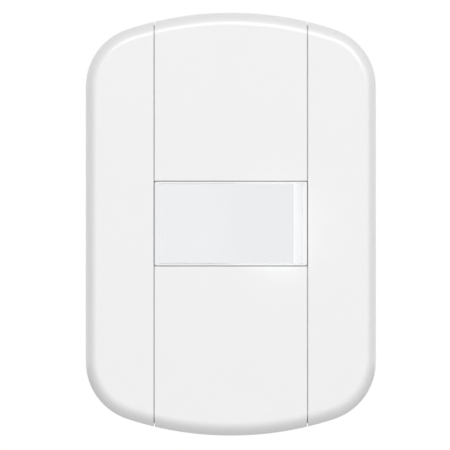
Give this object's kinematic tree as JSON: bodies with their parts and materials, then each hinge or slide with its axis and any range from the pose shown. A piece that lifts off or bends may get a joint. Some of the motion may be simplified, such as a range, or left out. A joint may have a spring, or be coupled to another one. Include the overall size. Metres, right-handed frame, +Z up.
{
  "type": "two-way light switch",
  "caption": "Flush wall light switch: rounded white clip-on plate over a screwed frame, with one two-way rocker module that has a spring-loaded see-saw contact and screw clamps.",
  "frame": {"origin": "centre of the wall face, on the wall's surface behind the middle of the plate", "axes": "+X right and +Z up as seen from the room, +Y into the wall; the face looks along -Y"},
  "size_m": [0.082, 0.0365, 0.1194],
  "materials": {
    "white_gloss_plastic": "moulded, satin gloss",
    "frame_plastic": "moulded, matt",
    "base_plastic": "moulded, matt",
    "plunger_plastic": "moulded, smooth",
    "brass": "stamped strip",
    "silver": "silver alloy rivet",
    "zinc_steel": "zinc plated",
    "spring_steel": "drawn wire"
  },
  "bodies": {
    "fixed_parts": {"cover_plate": "white_gloss_plastic", "mounting_frame": "frame_plastic", "box_screws": "zinc_steel", "module_body": "white_gloss_plastic", "module_base": "base_plastic", "common_bracket": "brass", "left_fixed_contact": "brass", "right_fixed_contact": "brass", "fixed_contact_rivets": "silver"},
    "rocker": {"rocker": "white_gloss_plastic", "plunger_spring": "spring_steel"},
    "plunger": {"plunger": "plunger_plastic"},
    "rocking_contact": {"rocking_contact": "brass", "moving_contact_rivets": "silver"},
    "left_clamp_screw": {"left_clamp_screw": "zinc_steel"},
    "left_clamp_cage": {"left_clamp_cage": "brass"},
    "common_clamp_screw": {"common_clamp_screw": "zinc_steel"},
    "common_clamp_cage": {"common_clamp_cage": "brass"},
    "right_clamp_screw": {"right_clamp_screw": "zinc_steel"},
    "right_clamp_cage": {"right_clamp_cage": "brass"}
  },
  "joints": [
    {"name": "rocker_tilt", "type": "hinge", "parent": "fixed_parts", "child": "rocker", "pos_m": [0, -0.0016, 0], "axis": [0, 0, 1], "range_deg": [0, 14.2]},
    {"name": "contact_flip", "type": "hinge", "parent": "fixed_parts", "child": "rocking_contact", "pos_m": [0, 0.00925, 0], "axis": [0, 0, 1], "range_deg": [-10, 0]},
    {"name": "plunger_press", "type": "slide", "parent": "rocker", "child": "plunger", "axis": [-0.1236, -0.9923, 0], "range_m": [0, 0.0012], "stiffness_N_per_m": 400, "springref_m": -0.003, "deforming": ["plunger_spring"]},
    {"name": "left_clamp_turn", "type": "hinge", "parent": "fixed_parts", "child": "left_clamp_screw", "pos_m": [-0.0125, 0.01625, 0], "axis": [0, 0, 1], "range_deg": [0, 1584]},
    {"name": "left_clamp_close", "type": "slide", "parent": "fixed_parts", "child": "left_clamp_cage", "axis": [0, 0, -1], "range_m": [0, 0.0022]},
    {"name": "common_clamp_turn", "type": "hinge", "parent": "fixed_parts", "child": "common_clamp_screw", "pos_m": [0, 0.01625, 0], "axis": [0, 0, 1], "range_deg": [0, 1584]},
    {"name": "common_clamp_close", "type": "slide", "parent": "fixed_parts", "child": "common_clamp_cage", "axis": [0, 0, -1], "range_m": [0, 0.0022]},
    {"name": "right_clamp_turn", "type": "hinge", "parent": "fixed_parts", "child": "right_clamp_screw", "pos_m": [0.0125, 0.01625, 0], "axis": [0, 0, 1], "range_deg": [0, 1584]},
    {"name": "right_clamp_close", "type": "slide", "parent": "fixed_parts", "child": "right_clamp_cage", "axis": [0, 0, -1], "range_m": [0, 0.0022]}
  ],
  "couplings": [
    {"joint": "contact_flip", "follows": "rocker_tilt", "ratio": -0.7042},
    {"joint": "left_clamp_turn", "follows": "left_clamp_close", "rad_per_m": 12566},
    {"joint": "common_clamp_turn", "follows": "common_clamp_close", "rad_per_m": 12566},
    {"joint": "right_clamp_turn", "follows": "right_clamp_close", "rad_per_m": 12566}
  ]
}
